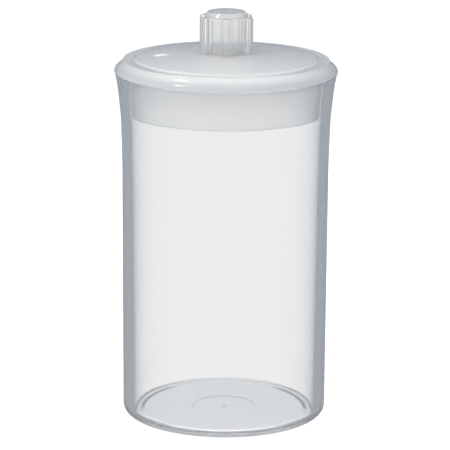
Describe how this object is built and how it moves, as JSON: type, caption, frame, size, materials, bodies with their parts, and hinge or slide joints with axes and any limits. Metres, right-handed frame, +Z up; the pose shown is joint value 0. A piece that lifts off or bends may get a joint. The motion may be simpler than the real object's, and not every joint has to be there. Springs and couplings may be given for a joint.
{
  "type": "disinfectant jar",
  "caption": "Clear plastic jar with a flared mouth, for soaking combs and small tools in disinfectant, with a milky drop-in lid and a clear fluted knob that lift off together.",
  "frame": {"origin": "centre of the resting face, on the surface that the jar stands on", "axes": "+Z up along the jar's axis, towards the knob; +X and +Y are across the jar, and the jar looks the same from every side"},
  "size_m": [0.108, 0.108, 0.1996],
  "materials": {
    "clear_plastic": "clear polished injection moulding",
    "milky_plastic": "milky translucent, glossy",
    "knob_plastic": "slightly hazy clear moulding"
  },
  "bodies": {
    "jar": {"jar_body": "clear_plastic"},
    "lid": {"lid": "milky_plastic", "knob": "knob_plastic"}
  },
  "joints": [
    {"name": "lid_lift", "type": "slide", "parent": "jar", "child": "lid", "axis": [0, 0, 1], "range_m": [0, 0.06]}
  ]
}
